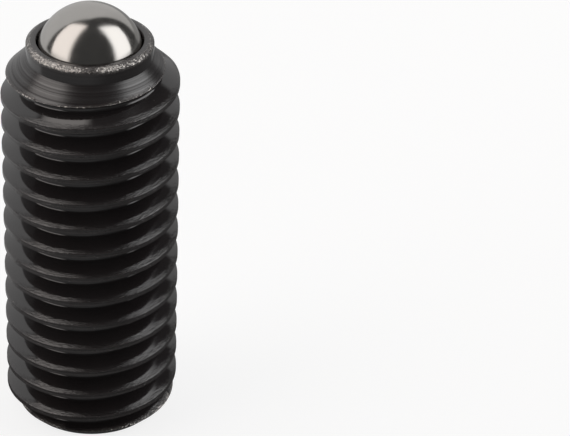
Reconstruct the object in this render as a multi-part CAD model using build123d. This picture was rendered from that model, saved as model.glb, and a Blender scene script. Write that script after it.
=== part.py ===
from build123d import *
from build123d.topology import SkipClean
from math import ceil, radians, sqrt, tan
import os

# Ball spring plunger, M5 x 0.8 x 12 mm: a threaded sleeve, a coil spring and a captive ball.
# Millimetres. The axis is Z, the sleeve stands on its hex-socket end at Z = 0, and the ball is
# on top. A driver in the socket screws the sleeve into a tapped hole until the ball stands out.

# ---- thread: ISO metric external profile ----------------------------------------------------
thread_major_d = 5.0
thread_pitch = 0.8
thread_depth_per_pitch = 0.6134     # ISO external thread depth, in pitches
thread_crest_per_pitch = 0.125      # ISO crest flat, in pitches
thread_flank_angle = 30.0           # from a plane square to the axis
thread_start_angle = 36.0           # where the groove crosses the socket face, about Z
groove_overcut = 0.05               # how far the groove's cutter stands outside the crest
crest_arcs = 8                      # arcs that draw one turn of the crest land

# ---- sleeve outside -------------------------------------------------------------------------
sleeve_length = 12.0                # socket face to the top of the rim
end_below_root = 0.02               # the end chamfer is turned this much under the thread root
end_chamfer_angle = 45.0
lead_chamfer_angle = 45.0
collar_height = 0.47
collar_wall = 0.235                 # collar metal around the ball bore
rim_bevel_width = 0.12
rim_bevel_height = 0.08

# ---- hex socket -----------------------------------------------------------------------------
hex_across_flats = 2.5
hex_depth = 2.6
mouth_margin = 0.2                  # countersink rim outside the hexagon's corners
mouth_angle = 90.0                  # countersink, included
pilot_under_flats = 0.05            # the pilot drill is this much smaller than the flats
pilot_extra_depth = 0.3             # pilot hole past the broached hexagon
drill_point_angle = 118.0

# ---- ball, its bore and its lip -------------------------------------------------------------
ball_d = 3.0
bore_clearance = 0.04               # radial, ball to bore
bore_depth = 7.4                    # rim to the spring's floor
seat_clearance = 0.02               # ball to lip, and spring to floor and ball
lip_overhang = 0.035                # the rolled lip reaches this far inside the ball's radius
lip_drop = 0.095                    # the lip's throat below the top of the rim
lip_flare = 0.035                   # radial flare from the throat to the rim

# ---- coil spring ----------------------------------------------------------------------------
wire_d = 0.41
wire_side_count = 8                 # the wire is drawn with flats, since the sleeve hides it
spring_clearance = 0.14             # radial, coils to bore
active_turns = 4
closed_turns = 0.75                 # at each end
closed_gap = 0.03                   # between the turns of a closed end

# ---- places worked out from the sizes above -------------------------------------------------
major_r = thread_major_d / 2
thread_depth = thread_depth_per_pitch * thread_pitch
root_r = major_r - thread_depth
crest_flat = thread_crest_per_pitch * thread_pitch

ball_r = ball_d / 2
bore_r = ball_r + bore_clearance
bore_floor_z = sleeve_length - bore_depth
collar_r = bore_r + collar_wall
collar_z = sleeve_length - collar_height

seat_r = ball_r + seat_clearance    # sphere round the resting ball that the lip touches
throat_r = ball_r - lip_overhang
throat_z = sleeve_length - lip_drop
throat_rise = sqrt(seat_r ** 2 - throat_r ** 2)
ball_z = throat_z - throat_rise
ball_projection = ball_z + ball_r - sleeve_length


def revolved(*points):
    """A solid turned about Z from an outline of (radius, height) points."""
    return revolve(Plane.XZ * make_face(Polyline(*points, close=True)), Axis.Z)


def threaded_bar():
    """A bar of the major diameter, chamfered and stepped at the ends, with the thread's groove cut."""
    step = 360 / crest_arcs
    wall = Wire([Edge.make_circle(major_r, start_angle=i * step, end_angle=(i + 1) * step)
                 for i in range(crest_arcs)])
    bar = Solid.extrude(Face(wall), (0, 0, sleeve_length))

    end_r = root_r - end_below_root
    outer_r = major_r + thread_pitch     # clear of the bar, so that only the chamfers trim it
    end_top = (outer_r - end_r) / tan(radians(end_chamfer_angle))
    lead_bottom = collar_z - (outer_r - collar_r) / tan(radians(lead_chamfer_angle))
    turned = revolved((0, 0), (end_r, 0), (outer_r, end_top), (outer_r, lead_bottom),
                      (collar_r, collar_z), (collar_r, sleeve_length - rim_bevel_height),
                      (collar_r - rim_bevel_width, sleeve_length), (0, sleeve_length))
    turns = ceil(sleeve_length / thread_pitch) + 2
    groove = groove_turn()
    return (bar - [Pos(0, 0, (i - 1) * thread_pitch) * groove for i in range(turns)]) & turned


def groove_turn():
    """One turn of the right-hand thread's cutter: a flat-bottomed V swept along a helix."""
    helix = Helix(thread_pitch, thread_pitch, root_r)
    reach = thread_depth + groove_overcut
    half_out = (thread_pitch - crest_flat) / 2 + groove_overcut * tan(radians(thread_flank_angle))
    half_in = half_out - reach * tan(radians(thread_flank_angle))
    vee = Polyline((0, -half_in), (reach, -half_out), (reach, half_out), (0, half_in), close=True)
    section = Plane(origin=helix @ 0, x_dir=(1, 0, 0), z_dir=(0, -1, 0)) * make_face(vee)
    return Rot(0, 0, thread_start_angle) * sweep(section, path=helix, is_frenet=True)


def ball_bore():
    """The blind bore for spring and ball, closed in at the top by the rolled lip."""
    seat_slope = throat_rise / throat_r  # the lip's inner cone touches the ball's seat sphere
    bore_top_z = throat_z - (bore_r - throat_r) / seat_slope
    return revolved((0, bore_floor_z), (bore_r, bore_floor_z), (bore_r, bore_top_z),
                    (throat_r, throat_z), (throat_r + lip_flare, sleeve_length), (0, sleeve_length))


def hex_socket():
    """The broached hexagon with its countersunk mouth and the pilot drill's hole behind it."""
    corner_r = hex_across_flats / sqrt(3)
    mouth_r = corner_r + mouth_margin
    mouth_depth = mouth_r / tan(radians(mouth_angle / 2))
    pilot_r = (hex_across_flats - pilot_under_flats) / 2
    pilot_z = hex_depth + pilot_extra_depth
    tip_z = pilot_z + pilot_r / tan(radians(drill_point_angle / 2))
    hexagon = extrude(RegularPolygon(corner_r, 6), hex_depth)
    mouth = revolved((0, 0), (mouth_r, 0), (0, mouth_depth))
    pilot = revolved((0, 0), (pilot_r, 0), (pilot_r, pilot_z), (0, tip_z))
    return hexagon + mouth + pilot


def sleeve():
    """The one-piece turned and threaded body."""
    with SkipClean():                    # keeps the crest land in its short arcs
        return threaded_bar() - ball_bore() - hex_socket()


def ball():
    """The hardened ball, resting against the lip."""
    return Pos(0, 0, ball_z) * Sphere(ball_r)


def spring():
    """The coil spring from the bore's floor to the ball, with a closed end at each side."""
    wire_r = wire_d / 2
    coil_r = bore_r - spring_clearance - wire_r
    first_z = bore_floor_z + seat_clearance + wire_r
    last_z = ball_z - sqrt((seat_r + wire_r) ** 2 - coil_r ** 2)
    closed_pitch = wire_d + closed_gap
    closed_rise = closed_turns * closed_pitch
    active_pitch = (last_z - first_z - 2 * closed_rise) / active_turns
    wire = RegularPolygon(wire_r, wire_side_count)

    def coil(pitch, turns, z, turned):
        """A helical length of wire that starts at a height, after some turns of the spring."""
        helix = Helix(pitch, pitch * turns, coil_r)
        section = Plane(origin=helix @ 0, x_dir=(1, 0, 0), z_dir=(0, -1, 0)) * wire
        return Pos(0, 0, z) * Rot(0, 0, 360 * turned) * sweep(section, path=helix, is_frenet=True)

    top_turn = closed_turns + active_turns
    return (coil(closed_pitch, closed_turns, first_z, 0)
            + coil(active_pitch, active_turns, first_z + closed_rise, closed_turns)
            + coil(closed_pitch, closed_turns, last_z - closed_rise, top_turn))


os.makedirs("parts", exist_ok=True)
for name, shape in (("sleeve", sleeve()), ("ball", ball()), ("spring", spring())):
    export_step(shape, f"parts/{name}.step")
print(f"ball stands out {ball_projection:.3f} mm, centre at Z {ball_z:.3f} mm")
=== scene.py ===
import math

import bpy
import numpy as np
from mathutils import Matrix, Vector


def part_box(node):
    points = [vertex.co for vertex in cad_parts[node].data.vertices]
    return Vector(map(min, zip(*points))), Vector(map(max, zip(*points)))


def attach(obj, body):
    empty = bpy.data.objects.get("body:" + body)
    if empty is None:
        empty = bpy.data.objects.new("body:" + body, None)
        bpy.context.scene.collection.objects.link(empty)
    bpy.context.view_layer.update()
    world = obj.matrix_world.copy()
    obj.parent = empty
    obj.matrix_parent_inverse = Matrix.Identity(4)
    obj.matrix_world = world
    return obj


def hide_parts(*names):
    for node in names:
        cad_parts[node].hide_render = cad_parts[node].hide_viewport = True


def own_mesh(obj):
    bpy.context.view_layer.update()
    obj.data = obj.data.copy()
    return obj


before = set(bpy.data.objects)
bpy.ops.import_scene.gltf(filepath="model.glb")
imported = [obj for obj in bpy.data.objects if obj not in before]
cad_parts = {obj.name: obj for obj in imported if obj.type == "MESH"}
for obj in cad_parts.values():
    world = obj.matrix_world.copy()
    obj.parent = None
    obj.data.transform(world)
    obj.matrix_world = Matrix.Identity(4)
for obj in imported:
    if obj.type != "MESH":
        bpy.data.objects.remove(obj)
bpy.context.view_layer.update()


# ---- threaded sleeve -------------------------------------------------------------------------
# The body of the plunger: free-cutting steel bar, turned, thread-rolled M5 x 0.8, drilled from the
# ball end and broached with a hexagon at the other. The rim is rolled in over the ball, and the
# whole sleeve is blackened in a hot oxide bath, which the rim's rolled edge wears through first.

COLUMNS = 192                  # round the axis; a multiple of six puts the hexagon's corners on columns

# millimetres, like every length down to the mesh; heights are above the socket face
RIM_Z = 12.0
COLLAR_R, COLLAR_Z = 1.775, RIM_Z - 0.47
PITCH, MAJOR_R = 0.8, 2.5
ROOT_R = MAJOR_R - 0.6134 * PITCH        # the standard depth of an external thread
ROOT_HALF = PITCH / 12                   # half the flat that the thread's profile has at its root
CREST_AT = 0.32                          # height of a crest's middle on the +X side
END_R = ROOT_R - 0.02                    # outside of the socket face, a little under the root
CONE_TOP, CHAMFER_BOTTOM = 11.36, 0.008  # between these the outside is the thread and its chamfers
BORE_FLOOR = RIM_Z - 7.4
ACROSS_FLATS = 2.5                       # of the hexagon


def smooth_profile(corners, radii, steps):
    """An outline with its inner corners rounded: each corner is replaced by an arc that is tangent
    to both of its sides, sampled as points on the quadratic curve between the tangent points."""
    points = [np.array(corners[0], float)]
    for before, corner, after, radius in zip(corners, corners[1:], corners[2:], radii):
        before, corner, after = (np.array(p, float) for p in (before, corner, after))
        into, out = corner - before, after - corner
        a, b = np.linalg.norm(into), np.linalg.norm(out)
        into, out = into / a, out / b
        half_turn = math.acos(np.clip(into @ out, -1, 1)) / 2
        reach = min(radius * math.tan(half_turn), 0.45 * a, 0.45 * b)
        if reach < 1e-6:
            points.append(corner)
            continue
        t = np.linspace(0, 1, steps)[:, None]
        points += list((1 - t) ** 2 * (corner - reach * into) + 2 * t * (1 - t) * corner
                       + t ** 2 * (corner + reach * out))
    points.append(np.array(corners[-1], float))
    return np.array(points)


def thread_rows():
    """One pitch of the thread, going up from a crest's seam to the next one: height above the
    crest's middle, and radius. Thread rolling leaves the crest as two low ridges with a seam
    between them, the upper one narrow with its edge broken, and eases the root's corners."""
    seam, half, seam_r = -0.012, PITCH / 2, MAJOR_R - 0.016
    upper_ridge, upper_edge, lower_ridge = 0.033, 0.060, -0.084
    corners = [(seam, seam_r), (upper_ridge, MAJOR_R), (upper_edge, MAJOR_R - 0.012),
               (half - ROOT_HALF, ROOT_R), (half + ROOT_HALF, ROOT_R),
               (PITCH + lower_ridge, MAJOR_R), (PITCH + seam, seam_r)]
    rounded = smooth_profile(corners, (0.04, 0.02, 0.07, 0.07, 0.02), 4)
    # rows on each flank, the outer ones close to its ends so that its corners shade crisply
    share = np.array([0.05, 0.36, 0.68, 0.95])[:, None]
    upper_flank = rounded[8] + share * (rounded[9] - rounded[8])
    lower_flank = rounded[16] + share * (rounded[17] - rounded[16])
    rows = np.vstack([rounded[:9], upper_flank, rounded[9:17], lower_flank, rounded[17:-1]])
    return rows[:, 0], rows[:, 1]


def chamfers(z):
    """The radius that the turning tool leaves: a 45 degree cone at each end of the thread."""
    return np.minimum(COLLAR_R + (COLLAR_Z - z), END_R + z)


def helical_rows(theta):
    """The outside between the two end rings. Row by row it follows the helix: each row has one
    place on the thread's profile, and rises by a pitch over a turn. The radius is the lesser of
    thread and chamfer, and the point nearest to where they cross slides onto the crossing. Gives
    heights and radii, arrays that are 1 where a chamfer cuts the thread and 1 on the chamfers, and
    the number of rows in a pitch."""
    offset, radius = thread_rows()
    turns = np.arange(-2, math.ceil(RIM_Z / PITCH))
    row_z = (CREST_AT + PITCH * turns[:, None] + offset).ravel()
    row_r = np.tile(radius, len(turns))
    z = row_z + PITCH * theta[:, None] / (2 * math.pi)
    r_thread = np.broadcast_to(row_r, z.shape)
    over = r_thread - chamfers(z)
    r = np.minimum(r_thread, chamfers(z))
    i, j = np.nonzero(over[:, :-1] * over[:, 1:] < 0)
    t = over[i, j] / (over[i, j] - over[i, j + 1])
    crossing = z[i, j] + t * (z[i, j + 1] - z[i, j])
    nearest = j + (t >= 0.5)
    z[i, nearest] = crossing
    r[i, nearest] = chamfers(crossing)
    cut = np.zeros_like(z)
    cut[i, nearest] = 1.0
    cut[(z > CONE_TOP - 0.05) | (z < CHAMFER_BOTTOM + 0.02)] = 0.0
    return z, r, cut, (r_thread > chamfers(z)) * 1.0, len(offset)


def hexagon_radius(theta, across_flats):
    """Distance from the axis to the side of a hexagon that has a corner on the X axis."""
    into_side = (theta + math.pi / 6) % (math.pi / 3) - math.pi / 6
    return across_flats / 2 / np.cos(math.pi / 6 - np.abs(into_side))


def ring_quads(first, count, around):
    """Quads between rings of points that follow one another, each closed round its last point."""
    ring = first + np.arange(count * around).reshape(count, around)
    ring = np.hstack([ring, ring[:, :1]])
    return np.stack([ring[:-1, :-1], ring[1:, :-1], ring[1:, 1:], ring[:-1, 1:]], -1).reshape(-1, 4)


def fan(first, tip, around):
    """Triangles from every side of one ring of points to a single point."""
    ring = first + np.arange(around)
    return np.stack([ring, np.roll(ring, -1), np.full(around, tip)], -1)


def sleeve_surface():
    """The whole closed skin as one grid of columns round the axis: from the bore's floor up the
    bore, over the lip, rim and collar, down the thread to the socket face, and into the socket."""
    theta = np.arange(COLUMNS) * 2 * math.pi / COLUMNS

    # from the bore's floor up to the lip, which closes in on the ball, and down to the lead cone
    bore_r, lip_r, lip_z = 1.54, 1.465, RIM_Z - 0.095
    bore_top, rim_inner_r, rim_outer_r = RIM_Z - 0.366, 1.5, COLLAR_R - 0.12
    profile = smooth_profile([(0, BORE_FLOOR), (bore_r, BORE_FLOOR), (bore_r, bore_top), (lip_r, lip_z),
                              (rim_inner_r, RIM_Z), (rim_outer_r, RIM_Z), (COLLAR_R, RIM_Z - 0.08),
                              (COLLAR_R, COLLAR_Z), (chamfers(CONE_TOP), CONE_TOP)],
                             (0.0, 0.0, 0.03, 0.02, 0.05, 0.05, 0.03), 6)[1:]
    plain_band = np.linspace(profile[-8], profile[-7], 5)[1:-1]    # extra rings down the collar
    profile = np.vstack([profile[:-7], plain_band, profile[-7:]])
    upper_r, upper_z = (np.repeat(profile[:, k][:, None], COLUMNS, 1) for k in (0, 1))
    # the rim has rubbed most on the -Y side, in two stretches about 70 degrees apart
    two_stretches = 1 - 0.5 * np.cos(5 * (theta + math.pi / 2))
    rubbing = 0.68 + 0.32 * np.clip(-np.sin(theta), 0, 1) * two_stretches
    towards_edge = np.clip((upper_r - (COLLAR_R - 0.185)) / 0.07, 0, 1)
    towards_top = np.clip((upper_z - (RIM_Z - 0.15)) / 0.05, 0, 1)
    upper_wear = towards_edge * towards_top * rubbing

    # from the end chamfer over the socket face into the hexagon: radius, height and wear of each ring
    socket_depth, pilot_depth = 2.6, 2.9
    hexagon = hexagon_radius(theta, ACROSS_FLATS)
    mouth_r = ACROSS_FLATS / math.sqrt(3) + 0.2
    pilot_r = ACROSS_FLATS / 2 - 0.025
    lower = [(END_R + CHAMFER_BOTTOM, CHAMFER_BOTTOM, 0.6), (END_R, 0.0, 0.8), (END_R - 0.03, 0.0, 0.1),
             (0.5 * (END_R + mouth_r), 0.0, 0.0), (mouth_r + 0.03, 0.0, 0.1), (mouth_r, 0.0, 0.8),
             (mouth_r - 0.03, 0.03, 0.2), (0.5 * (mouth_r + hexagon), 0.5 * (mouth_r - hexagon), 0.0),
             (hexagon, mouth_r - hexagon, 0.5), (hexagon - 0.004, mouth_r - hexagon + 0.02, 0.0),
             (hexagon, 0.35 * socket_depth, 0.0), (hexagon, 0.65 * socket_depth, 0.0),
             (hexagon, socket_depth, 0.0), (pilot_r, socket_depth, 0.0), (pilot_r, pilot_depth, 0.0)]
    lower_r, lower_z, lower_wear = (np.array([np.broadcast_to(row[k], COLUMNS) for row in lower])
                                    for k in range(3))
    drill_tip = pilot_depth + pilot_r / math.tan(math.radians(118 / 2))

    # the thread's grid: what lies past an end ring is folded onto it, so that they share points, and
    # past the last column comes the first one again, a pitch higher
    z, r, cut, turned, per_pitch = helical_rows(theta)
    rows = z.shape[1]
    n_upper, n_lower = len(upper_r), len(lower_r)
    first_thread = (n_upper + n_lower) * COLUMNS
    index = first_thread + np.arange(COLUMNS * rows).reshape(COLUMNS, rows)
    top_ring = (n_upper - 1) * COLUMNS + np.arange(COLUMNS)
    bottom_ring = n_upper * COLUMNS + np.arange(COLUMNS)
    index = np.where(z >= CONE_TOP, top_ring[:, None], index)
    index = np.where(z <= CHAMFER_BOTTOM, bottom_ring[:, None], index)
    a_pitch_up = index[0][np.minimum(np.arange(rows) + per_pitch, rows - 1)]
    index = np.vstack([index, a_pitch_up])

    # a quad with one side folded onto a ring is a triangle, and one with both sides there is nothing
    thread = np.stack([index[:-1, :-1], index[1:, :-1], index[1:, 1:], index[:-1, 1:]], -1)
    thread = thread.reshape(-1, 4)
    left, right = thread[:, 0] == thread[:, 3], thread[:, 1] == thread[:, 2]
    quads = np.vstack([ring_quads(0, n_upper, COLUMNS), ring_quads(n_upper * COLUMNS, n_lower, COLUMNS),
                       thread[~left & ~right]])

    # all the points, with the middle of the bore's floor and the drill's tip as the last two
    r_all = np.concatenate([upper_r.ravel(), lower_r.ravel(), r.ravel(), [0, 0]])
    z_all = np.concatenate([upper_z.ravel(), lower_z.ravel(), z.ravel(), [BORE_FLOOR, drill_tip]])
    angle = np.concatenate([np.tile(theta, n_upper + n_lower), np.repeat(theta, rows), [0, 0]])
    points = np.stack([r_all * np.cos(angle), r_all * np.sin(angle), z_all], -1)
    crest_wear = np.clip((r - (MAJOR_R - 0.045)) / 0.03, 0, 1) * 0.2
    wear = np.concatenate([upper_wear.ravel(), lower_wear.ravel(),
                           np.maximum(crest_wear, 0.8 * cut).ravel(), [0, 0]])
    # the marks are plainest on the lead cone, and faint on the collar above it
    on_cone = (upper_r > COLLAR_R - 0.005) & (upper_z < COLLAR_Z + 0.04)
    upper_turned = np.where(on_cone, 1.0, 0.2)
    turned = np.concatenate([upper_turned.ravel(), np.ones(n_lower * COLUMNS), turned.ravel(), [1, 1]])

    last_ring = (n_upper + n_lower - 1) * COLUMNS
    triangles = np.vstack([thread[left & ~right][:, [0, 1, 2]], thread[right & ~left][:, [0, 1, 3]],
                           fan(0, len(points) - 2, COLUMNS), fan(last_ring, len(points) - 1, COLUMNS)])
    return points, [quads, triangles], wear, turned


def new_piece(name, points, faces, sharp_degrees, **shades):
    """A mesh object from points in millimetres and arrays of faces. Points that no face uses are
    left out, faces are turned outward, edges sharper than an angle stay crisp, and each shade is a
    number on every point for the material to read."""
    used = np.unique(np.concatenate([block.ravel() for block in faces]))
    renumber = np.zeros(len(points), int)
    renumber[used] = np.arange(len(used))
    mesh = bpy.data.meshes.new(name)
    mesh.from_pydata((points[used] * 0.001).tolist(), [],
                     [face for block in faces for face in renumber[block].tolist()])
    mesh.validate()
    for label, values in shades.items():
        attribute = mesh.attributes.new(label, "FLOAT", "POINT")
        attribute.data.foreach_set("value", values[used].astype(np.float32))
    piece = bpy.data.objects.new(name, mesh)
    bpy.context.collection.objects.link(piece)
    bpy.context.view_layer.objects.active = piece
    piece.select_set(True)
    bpy.ops.object.mode_set(mode="EDIT")
    bpy.ops.mesh.select_all(action="SELECT")
    bpy.ops.mesh.normals_make_consistent(inside=False)
    bpy.ops.object.mode_set(mode="OBJECT")
    piece.select_set(False)
    mesh.polygons.foreach_set("use_smooth", np.ones(len(mesh.polygons), bool))
    mesh.set_sharp_from_angle(angle=math.radians(sharp_degrees))
    return piece


def colour(code):
    """The linear colour of an sRGB hex code."""
    c = np.array([int(code[k:k + 2], 16) for k in (1, 3, 5)]) / 255
    return (*np.where(c <= 0.04045, c / 12.92, ((c + 0.055) / 1.055) ** 2.4), 1.0)


def add(tree, kind, settings=(), links=()):
    """Adds a node; settings are its properties or its sockets' values, links are sockets to feed."""
    node = tree.nodes.new(kind)
    for key, value in dict(settings).items():
        if isinstance(key, str) and hasattr(node, key):
            setattr(node, key, value)
        else:
            node.inputs[key].default_value = value
    for socket, source in dict(links).items():
        tree.links.new(source, node.inputs[socket])
    return node


def blackened_steel():
    """Hot black oxide on turned steel: a thin oiled layer, nearly black, that shines like a dark
    stone and not like metal. Bright steel comes through on worn edges. Turning leaves fine rings."""
    material = bpy.data.materials.new("black_oxide_turned_steel")
    material.use_nodes = True
    tree = material.node_tree
    tree.nodes.clear()
    place = add(tree, "ShaderNodeTexCoord").outputs["Object"]
    parts = add(tree, "ShaderNodeSeparateXYZ", links={0: place}).outputs
    flat = add(tree, "ShaderNodeCombineXYZ", links={0: parts[0], 1: parts[1]}).outputs[0]
    radius = add(tree, "ShaderNodeVectorMath", {"operation": "LENGTH"}, {0: flat}).outputs["Value"]

    # turning marks: rings round the axis, 0.03 mm apart on flat faces and 0.07 mm on cone and collar
    along = add(tree, "ShaderNodeMath", {"operation": "MULTIPLY_ADD", 1: 0.4},
                {0: parts[2], 2: radius}).outputs[0]
    rings = add(tree, "ShaderNodeMath", {"operation": "MULTIPLY", 1: 1 / 0.00003}, {0: along}).outputs[0]
    marks = add(tree, "ShaderNodeTexNoise", {"noise_dimensions": "1D", "Scale": 1.0, "Detail": 1.0,
                                             "Roughness": 0.5}, {"W": rings}).outputs["Fac"]
    turned = add(tree, "ShaderNodeAttribute", {"attribute_name": "turned"}).outputs["Fac"]
    # grain of the oxide layer, 0.05 mm, drawn a little coarser than it is so that it shows
    grain = add(tree, "ShaderNodeTexNoise", {"Scale": 1 / 0.00005, "Detail": 3.0, "Roughness": 0.65},
                {"Vector": place}).outputs["Fac"]
    # clouds in the oil film, 0.9 mm
    cloud = add(tree, "ShaderNodeTexNoise", {"Scale": 1 / 0.0009, "Detail": 2.0},
                {"Vector": place}).outputs["Fac"]

    # near the crests rolling has torn the surface into streaks along the helix, 0.03 by 0.12 mm,
    # which the smoother land on top of the crest hardly shows
    around = add(tree, "ShaderNodeVectorMath", {"operation": "NORMALIZE"}, {0: flat}).outputs["Vector"]
    around = add(tree, "ShaderNodeVectorMath", {"operation": "SCALE", "Scale": MAJOR_R / 0.12},
                 {0: around}).outputs["Vector"]
    turn = add(tree, "ShaderNodeMath", {"operation": "ARCTAN2"}, {0: parts[1], 1: parts[0]}).outputs[0]
    height = add(tree, "ShaderNodeMath", {"operation": "MULTIPLY_ADD", 1: -0.001 * PITCH / (2 * math.pi)},
                 {0: turn, 2: parts[2]}).outputs[0]
    height = add(tree, "ShaderNodeMath", {"operation": "MULTIPLY", 1: 1 / 0.00003}, {0: height}).outputs[0]
    rise = add(tree, "ShaderNodeCombineXYZ", links={2: height}).outputs[0]
    streaked = add(tree, "ShaderNodeVectorMath", {"operation": "ADD"},
                   {0: around, 1: rise}).outputs["Vector"]
    outward = add(tree, "ShaderNodeMath", {"operation": "MULTIPLY", 1: 1 / 0.00003},
                  {0: radius}).outputs[0]
    streaks = add(tree, "ShaderNodeTexNoise", {"noise_dimensions": "4D", "Scale": 1.0, "Detail": 3.0},
                  {"Vector": streaked, "W": outward}).outputs["Fac"]
    near_crest = add(tree, "ShaderNodeMapRange",
                     {"From Min": 0.00234, "From Max": 0.00245, "To Max": 0.000016},
                     {"Value": radius}).outputs[0]
    off_land = add(tree, "ShaderNodeMapRange",
                   {"From Min": 0.002484, "From Max": 0.002496, "To Min": 1.0, "To Max": 0.15},
                   {"Value": radius}).outputs[0]
    tear_depth = add(tree, "ShaderNodeMath", {"operation": "MULTIPLY"},
                     {0: near_crest, 1: off_land}).outputs[0]

    # where the wear attribute says so the oxide is rubbed thin, and chipped off in 0.06 mm specks
    rubbed = add(tree, "ShaderNodeAttribute", {"attribute_name": "wear"}).outputs["Fac"]
    patches = add(tree, "ShaderNodeMapRange",
                  {"From Min": 0.35, "From Max": 0.6, "To Min": 0.55, "To Max": 1.0},
                  {"Value": cloud}).outputs[0]
    rubbed = add(tree, "ShaderNodeMath", {"operation": "MULTIPLY"}, {0: rubbed, 1: patches}).outputs[0]
    chips = add(tree, "ShaderNodeTexNoise", {"Scale": 1 / 0.00006, "Detail": 3.0, "Roughness": 0.7},
                {"Vector": place}).outputs["Fac"]
    bare = add(tree, "ShaderNodeMath", {"operation": "MULTIPLY_ADD", 1: 0.38},
               {0: rubbed, 2: chips}).outputs[0]
    worn = add(tree, "ShaderNodeMapRange", {"From Min": 0.74, "From Max": 0.82, "To Max": 1.0},
               {"Value": bare}).outputs[0]

    oxide = add(tree, "ShaderNodeMix", {"data_type": "RGBA", 6: colour("#262223"), 7: colour("#322d2d")},
                {0: cloud}).outputs[2]
    thin = add(tree, "ShaderNodeMix", {"data_type": "RGBA", 7: colour("#5c5654")},
               {0: rubbed, 6: oxide}).outputs[2]
    steel = add(tree, "ShaderNodeMix", {"data_type": "RGBA", 7: colour("#d2cdc8")},
                {0: worn, 6: thin}).outputs[2]
    # the rolled thread is smoothest, turned faces are the roughest
    rough = add(tree, "ShaderNodeMapRange",
                {"From Min": 0.3, "From Max": 0.7, "To Min": 0.07, "To Max": 0.11},
                {"Value": grain}).outputs[0]
    rough = add(tree, "ShaderNodeMix", {"data_type": "FLOAT", 3: 0.26}, {0: turned, 2: rough}).outputs[0]
    rough = add(tree, "ShaderNodeMix", {"data_type": "FLOAT", 3: 0.17}, {0: rubbed, 2: rough}).outputs[0]
    # the marks' valleys hold dull oxide, so that they show as lines in a highlight
    dull = add(tree, "ShaderNodeMapRange",
               {"From Min": 0.3, "From Max": 0.7, "To Min": 0.25, "To Max": 0.75},
               {"Value": marks}).outputs[0]
    shine = add(tree, "ShaderNodeMix", {"data_type": "FLOAT", 2: 0.5}, {0: turned, 3: dull}).outputs[0]

    # relief: marks 3 microns deep, tears up to 16, grain 0.4, and dents of 0.05 mm on worn edges
    cut_height = add(tree, "ShaderNodeMath", {"operation": "MULTIPLY"}, {0: marks, 1: turned}).outputs[0]
    groove = add(tree, "ShaderNodeBump", {"Strength": 1.0, "Distance": 0.000003},
                 {"Height": cut_height}).outputs[0]
    torn = add(tree, "ShaderNodeBump", {"Strength": 1.0},
               {"Height": streaks, "Distance": tear_depth, "Normal": groove}).outputs[0]
    pores = add(tree, "ShaderNodeBump", {"Strength": 1.0, "Distance": 0.0000004},
                {"Height": grain, "Normal": torn}).outputs[0]
    hammered = add(tree, "ShaderNodeTexNoise", {"Scale": 1 / 0.00005, "Detail": 1.0},
                   {"Vector": place}).outputs["Fac"]
    dent_depth = add(tree, "ShaderNodeMath", {"operation": "MULTIPLY", 1: 0.00005}, {0: rubbed}).outputs[0]
    dents = add(tree, "ShaderNodeBump", {"Strength": 1.0},
                {"Height": hammered, "Distance": dent_depth, "Normal": pores}).outputs[0]
    shader = add(tree, "ShaderNodeBsdfPrincipled", {"IOR": 1.9},
                 {"Base Color": steel, "Metallic": worn, "Roughness": rough, "Specular IOR Level": shine,
                  "Normal": dents}).outputs[0]
    add(tree, "ShaderNodeOutputMaterial", links={"Surface": shader})
    return material


points, faces, wear, turned = sleeve_surface()
threaded_sleeve = new_piece("threaded_sleeve", points, faces, 32, wear=wear, turned=turned)
threaded_sleeve.data.materials.append(blackened_steel())
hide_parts("sleeve")
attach(threaded_sleeve, "sleeve")


# ---- ball ------------------------------------------------------------------------------------
# A 3 mm bearing ball of chromium steel, hardened, ground and lapped to a mirror. It is dropped in
# on the spring before the rim is rolled over it, and stands 1 mm out of the sleeve.

def sphere_surface(radius, height, around, along):
    """A sphere by longitude and latitude, with a single point at each pole."""
    u = np.arange(around) * 2 * math.pi / around
    v = np.linspace(-math.pi / 2, math.pi / 2, along + 1)[1:-1]
    grid = np.stack([np.cos(v)[:, None] * np.cos(u), np.cos(v)[:, None] * np.sin(u),
                     np.repeat(np.sin(v)[:, None], around, 1)], -1).reshape(-1, 3)
    points = np.vstack([grid, [[0, 0, -1], [0, 0, 1]]]) * radius + [0, 0, height]
    south, north = len(grid), len(grid) + 1
    fans = np.vstack([fan(0, south, around), fan(south - around, north, around)])
    return points, [ring_quads(0, len(v), around), fans]


def lapped_steel():
    """Lapped bearing steel: a clean mirror with the slightly warm grey of chromium steel, and a
    haze of lapping scratches too fine to see one by one."""
    material = bpy.data.materials.new("lapped_bearing_steel")
    material.use_nodes = True
    tree = material.node_tree
    tree.nodes.clear()
    place = add(tree, "ShaderNodeTexCoord").outputs["Object"]
    # handling haze, 0.35 mm, that changes how sharp the mirror is
    haze = add(tree, "ShaderNodeTexNoise", {"Scale": 1 / 0.00035, "Detail": 3.0},
               {"Vector": place}).outputs["Fac"]
    rough = add(tree, "ShaderNodeMapRange",
                {"From Min": 0.3, "From Max": 0.7, "To Min": 0.12, "To Max": 0.19},
                {"Value": haze}).outputs[0]
    tint = add(tree, "ShaderNodeMix", {"data_type": "RGBA", 6: colour("#c9c6c2"), 7: colour("#d3cfca")},
               {0: haze}).outputs[2]
    # fine scuffs, 0.06 mm across and under a micron deep
    scuffs = add(tree, "ShaderNodeTexNoise", {"Scale": 1 / 0.00006, "Detail": 2.0},
                 {"Vector": place}).outputs["Fac"]
    scuffed = add(tree, "ShaderNodeBump", {"Strength": 1.0, "Distance": 0.0000007},
                  {"Height": scuffs}).outputs[0]
    shader = add(tree, "ShaderNodeBsdfPrincipled", {"Metallic": 1.0},
                 {"Base Color": tint, "Roughness": rough, "Normal": scuffed}).outputs[0]
    add(tree, "ShaderNodeOutputMaterial", links={"Surface": shader})
    return material


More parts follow.
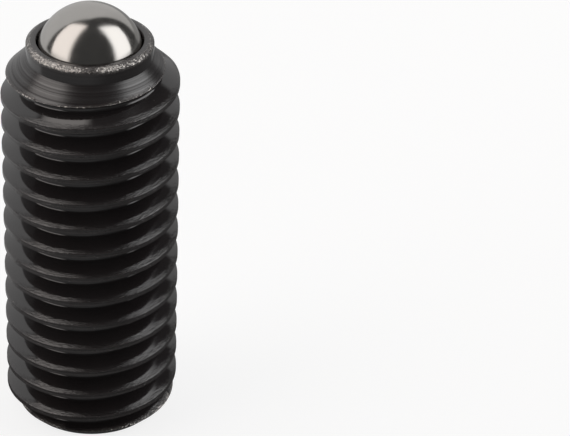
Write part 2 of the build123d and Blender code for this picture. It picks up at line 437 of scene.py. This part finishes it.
BALL_R = 1.5
low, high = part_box("ball")
middle_z = 1000 * (low.z + high.z) / 2
points, faces = sphere_surface(BALL_R, middle_z, 160, 80)
polished_ball = new_piece("polished_ball", points, faces, 60)
polished_ball.data.materials.append(lapped_steel())
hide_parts("ball")
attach(polished_ball, "ball")


# ---- coil spring -----------------------------------------------------------------------------
# Music wire of 0.41 mm coiled cold, with its end turns closed, and oiled. It sits on the bore's
# floor and pushes the ball against the rolled rim; pressing the ball in shortens it by 1 mm.

WIRE_R, COIL_R = 0.205, 1.195
TURNS, CLOSED_TURNS, CLOSED_PITCH = 5.5, 0.75, 0.44   # closed turns and their pitch are for each end


def spring_surface(bottom, top, around, per_turn):
    """A round wire carried along a helix from one height to another. Its pitch is small over the
    closed ends and wide between them, eased from one to the other over a fifth of a turn. The
    wire's end faces are fans to a point."""
    t = np.linspace(0, TURNS, int(TURNS * per_turn) + 1)
    past_first = np.clip((t - CLOSED_TURNS + 0.1) / 0.2, 0, 1)
    past_last = np.clip((t - TURNS + CLOSED_TURNS + 0.1) / 0.2, 0, 1)
    extra_rise = top - bottom - CLOSED_PITCH * TURNS
    slope = CLOSED_PITCH + (past_first - past_last) * extra_rise / (TURNS - 2 * CLOSED_TURNS)
    rise = np.concatenate([[0], np.cumsum((slope[1:] + slope[:-1]) / 2 * np.diff(t))])
    rise *= (top - bottom) / rise[-1]
    a = 2 * math.pi * t[:, None]
    b = np.arange(around) * 2 * math.pi / around
    r = COIL_R + WIRE_R * np.cos(b)
    grid = np.stack([r * np.cos(a), r * np.sin(a), bottom + rise[:, None] + WIRE_R * np.sin(b)], -1)
    points = np.vstack([grid.reshape(-1, 3), grid[0].mean(0), grid[-1].mean(0)])
    start, end = len(t) * around, len(t) * around + 1
    fans = np.vstack([fan(0, start, around), fan(start - around, end, around)])
    return points, [ring_quads(0, len(t), around), fans]


def drawn_wire():
    """Cold-drawn spring steel wire: grey and silky under an oil film."""
    material = bpy.data.materials.new("drawn_spring_steel")
    material.use_nodes = True
    tree = material.node_tree
    tree.nodes.clear()
    place = add(tree, "ShaderNodeTexCoord").outputs["Object"]
    # the film pools in patches of 0.2 mm
    film = add(tree, "ShaderNodeTexNoise", {"Scale": 1 / 0.0002, "Detail": 3.0},
               {"Vector": place}).outputs["Fac"]
    rough = add(tree, "ShaderNodeMapRange", {"To Min": 0.25, "To Max": 0.45}, {"Value": film}).outputs[0]
    tint = add(tree, "ShaderNodeMix", {"data_type": "RGBA", 6: colour("#8e8a84"), 7: colour("#a5a29c")},
               {0: film}).outputs[2]
    shader = add(tree, "ShaderNodeBsdfPrincipled", {"Metallic": 1.0},
                 {"Base Color": tint, "Roughness": rough}).outputs[0]
    add(tree, "ShaderNodeOutputMaterial", links={"Surface": shader})
    return material


low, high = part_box("spring")
points, faces = spring_surface(1000 * low.z + WIRE_R, 1000 * high.z - WIRE_R, 20, 64)
coil_spring = new_piece("coil_spring", points, faces, 60)
coil_spring.data.materials.append(drawn_wire())
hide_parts("spring")
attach(coil_spring, "sleeve")
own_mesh(coil_spring)


# ---- camera ----------------------------------------------------------------------------------
# A long lens from above, a hand's breadth away, with the plunger at the left of the frame. It aims
# at half the sleeve's height.

scene = bpy.context.scene
tilt, roll = math.radians(32.21), math.radians(0.326)
forward = Vector((0, math.cos(tilt), -math.sin(tilt)))
level, rise = Vector((1, 0, 0)), Vector((0, math.sin(tilt), math.cos(tilt)))
right = level * math.cos(roll) - rise * math.sin(roll)
up = level * math.sin(roll) + rise * math.cos(roll)
aim, distance = Vector((-0.0000436, 0, 0.006)), 0.07669
camera = bpy.data.objects.new("camera", bpy.data.cameras.new("camera"))
turn = Matrix((right, up, -forward)).transposed().to_4x4()
camera.matrix_world = Matrix.Translation(aim - forward * distance) @ turn
camera.data.sensor_width = 36
camera.data.lens = 169.11
camera.data.shift_x, camera.data.shift_y = 0.3432, 0.0104
camera.data.clip_start, camera.data.clip_end = 0.002, 20
scene.collection.objects.link(camera)
scene.camera = camera


# ---- floor and studio ------------------------------------------------------------------------
# A plain white floor. Two tall soft boxes stand left and right of the camera and lean over the
# plunger, and a white sheet hangs behind it; the side towards the camera is a dark room.

# the lens sees evenly bright paper with a soft shadow; in the steel's reflections the paper glows with
# painted light, brightest behind the plunger, dimmer towards the right, and with a painted shadow where the
# plunger stands on it
floor_mesh = bpy.data.meshes.new("floor")
floor_mesh.from_pydata([(-3, -3, 0), (3, -3, 0), (3, 3, 0), (-3, 3, 0)], [], [(0, 1, 2, 3)])
floor = bpy.data.objects.new("floor", floor_mesh)
scene.collection.objects.link(floor)
paper = bpy.data.materials.new("white_matt_paper")
paper.use_nodes = True
tree = paper.node_tree
tree.nodes.clear()
place = add(tree, "ShaderNodeTexCoord").outputs["Object"]
parts = add(tree, "ShaderNodeSeparateXYZ", links={0: place}).outputs
to_right = add(tree, "ShaderNodeMath", {"operation": "MAXIMUM", 1: 0.0}, {0: parts[0]}).outputs[0]
behind = add(tree, "ShaderNodeMath", {"operation": "MULTIPLY_ADD", 1: -0.12},
             {0: parts[0], 2: parts[1]}).outputs[0]
behind = add(tree, "ShaderNodeMath", {"operation": "MULTIPLY_ADD", 1: -0.68},
             {0: to_right, 2: behind}).outputs[0]
far_side = add(tree, "ShaderNodeMapRange",
               {"From Min": 0.0035, "From Max": 0.006, "To Min": 0.20, "To Max": 0.50},
               {"Value": behind}).outputs[0]
flat = add(tree, "ShaderNodeCombineXYZ", links={0: parts[0], 1: parts[1]}).outputs[0]
radius = add(tree, "ShaderNodeVectorMath", {"operation": "LENGTH"}, {0: flat}).outputs["Value"]
# painted shadow: the glow drops to 0.3 within 2.5 mm of the axis, where the plunger stands
clear = add(tree, "ShaderNodeMapRange",
            {"From Min": 0.0025, "From Max": 0.009, "To Min": 0.3, "To Max": 1.0},
            {"Value": radius}).outputs[0]
painted_light = add(tree, "ShaderNodeMath", {"operation": "MULTIPLY"}, {0: far_side, 1: clear}).outputs[0]
dimmer = add(tree, "ShaderNodeMapRange", {"From Min": 0.0, "From Max": 0.012, "To Min": 1.0, "To Max": 0.5},
             {"Value": parts[0]}).outputs[0]
painted_light = add(tree, "ShaderNodeMath", {"operation": "MULTIPLY"}, {0: painted_light, 1: dimmer}).outputs[0]
ray = add(tree, "ShaderNodeLightPath").outputs
# painted light: the paper glows only for rays mirrored in the steel
glow = add(tree, "ShaderNodeMath", {"operation": "MULTIPLY"}, {0: painted_light, 1: ray["Is Glossy Ray"]}).outputs[0]
glow = add(tree, "ShaderNodeMath", {"operation": "MULTIPLY_ADD", 1: 0.82},
           {0: ray["Is Camera Ray"], 2: glow}).outputs[0]
shine = add(tree, "ShaderNodeEmission", {"Color": (1, 1, 1, 1)}, {"Strength": glow}).outputs[0]
matt = add(tree, "ShaderNodeBsdfDiffuse", {"Color": colour("#8f8f8f")}).outputs[0]
seen = add(tree, "ShaderNodeAddShader", links={0: shine, 1: matt}).outputs[0]
mirrored = add(tree, "ShaderNodeMixShader", links={0: ray["Is Glossy Ray"], 1: seen, 2: shine}).outputs[0]
add(tree, "ShaderNodeOutputMaterial", links={"Surface": mirrored})
floor_mesh.materials.append(paper)

# the sheet hangs behind the plunger and ends in a slanting edge towards the right, where it is
# dimmer; the lens sees plain white past the floor
world = bpy.data.worlds.new("studio")
scene.world = world
world.use_nodes = True
tree = world.node_tree
tree.nodes.clear()
away = add(tree, "ShaderNodeTexCoord").outputs["Generated"]
parts = add(tree, "ShaderNodeSeparateXYZ", links={0: away}).outputs
to_right = add(tree, "ShaderNodeMath", {"operation": "MAXIMUM", 1: 0.0}, {0: parts[0]}).outputs[0]
back = add(tree, "ShaderNodeMath", {"operation": "MULTIPLY_ADD", 1: -0.5},
           {0: to_right, 2: parts[1]}).outputs[0]
sheet = add(tree, "ShaderNodeMapRange",
            {"From Min": 0.31, "From Max": 0.36, "To Min": 0.05, "To Max": 0.54},
            {"Value": back}).outputs[0]
dimmer = add(tree, "ShaderNodeMapRange", {"From Min": 0.3, "From Max": 0.9, "To Min": 1.0, "To Max": 0.75},
             {"Value": parts[0]}).outputs[0]
sheet = add(tree, "ShaderNodeMath", {"operation": "MULTIPLY"}, {0: sheet, 1: dimmer}).outputs[0]
ray = add(tree, "ShaderNodeLightPath").outputs
brightness = add(tree, "ShaderNodeMix", {"data_type": "FLOAT", 3: 1.0},
                 {0: ray["Is Camera Ray"], 2: sheet}).outputs[0]
sky = add(tree, "ShaderNodeBackground", {"Color": (1, 1, 1, 1)}, {"Strength": brightness}).outputs[0]
add(tree, "ShaderNodeOutputWorld", links={"Surface": sky})


def soft_box(name, corners, watts, tint):
    """A flat lamp through three corners in millimetres: low left, low right and high left, as seen
    from the plunger. It shines to the plunger's side, and its light fades near its edges."""
    low_left, low_right, high_left = (Vector(c) * 0.001 for c in corners)
    across, upward = low_right - low_left, high_left - low_left
    centre = low_left + (across + upward) / 2
    x = across.normalized()
    z = x.cross(upward).normalized()
    if z.dot(centre) < 0:
        x, z = -x, -z
    y = z.cross(x)
    data = bpy.data.lights.new(name, "AREA")
    data.shape = "RECTANGLE"
    data.size, data.size_y = across.length, upward.length
    data.energy, data.color = watts, colour(tint)[:3]
    data.use_nodes = True
    tree = data.node_tree
    tree.nodes.clear()
    place = add(tree, "ShaderNodeNewGeometry").outputs["Parametric"]
    parts = add(tree, "ShaderNodeSeparateXYZ", links={0: place}).outputs
    # across and then upward: where the fade starts, as a share from the middle, and what is left
    fades = []
    for share, start, least in ((parts[0], 0.40, 0.25), (parts[1], 0.35, 0.3)):
        off_middle = add(tree, "ShaderNodeMath", {"operation": "SUBTRACT", 1: 0.5}, {0: share}).outputs[0]
        off_middle = add(tree, "ShaderNodeMath", {"operation": "ABSOLUTE"}, {0: off_middle}).outputs[0]
        fades.append(add(tree, "ShaderNodeMapRange",
                         {"interpolation_type": "SMOOTHSTEP", "From Min": start, "From Max": 0.5,
                          "To Min": 1.0, "To Max": least}, {"Value": off_middle}).outputs[0])
    inside = add(tree, "ShaderNodeMath", {"operation": "MULTIPLY"}, {0: fades[0], 1: fades[1]}).outputs[0]
    shine = add(tree, "ShaderNodeEmission", {"Color": (1, 1, 1, 1)}, {"Strength": inside}).outputs[0]
    add(tree, "ShaderNodeOutputLight", links={"Surface": shine})
    lamp = bpy.data.objects.new(name, data)
    lamp.matrix_world = Matrix.Translation(centre) @ Matrix((x, y, z)).transposed().to_4x4()
    scene.collection.objects.link(lamp)


soft_box("left_soft_box", [(-257, 5, 8), (-85, -94, 0), (-182, 110, 310)], 0.262, "#fff8f4")
soft_box("right_soft_box", [(106, -85, 3), (287, 43, 5), (46, -2, 211)], 0.238, "#ffffff")

scene.view_settings.view_transform = "Standard"
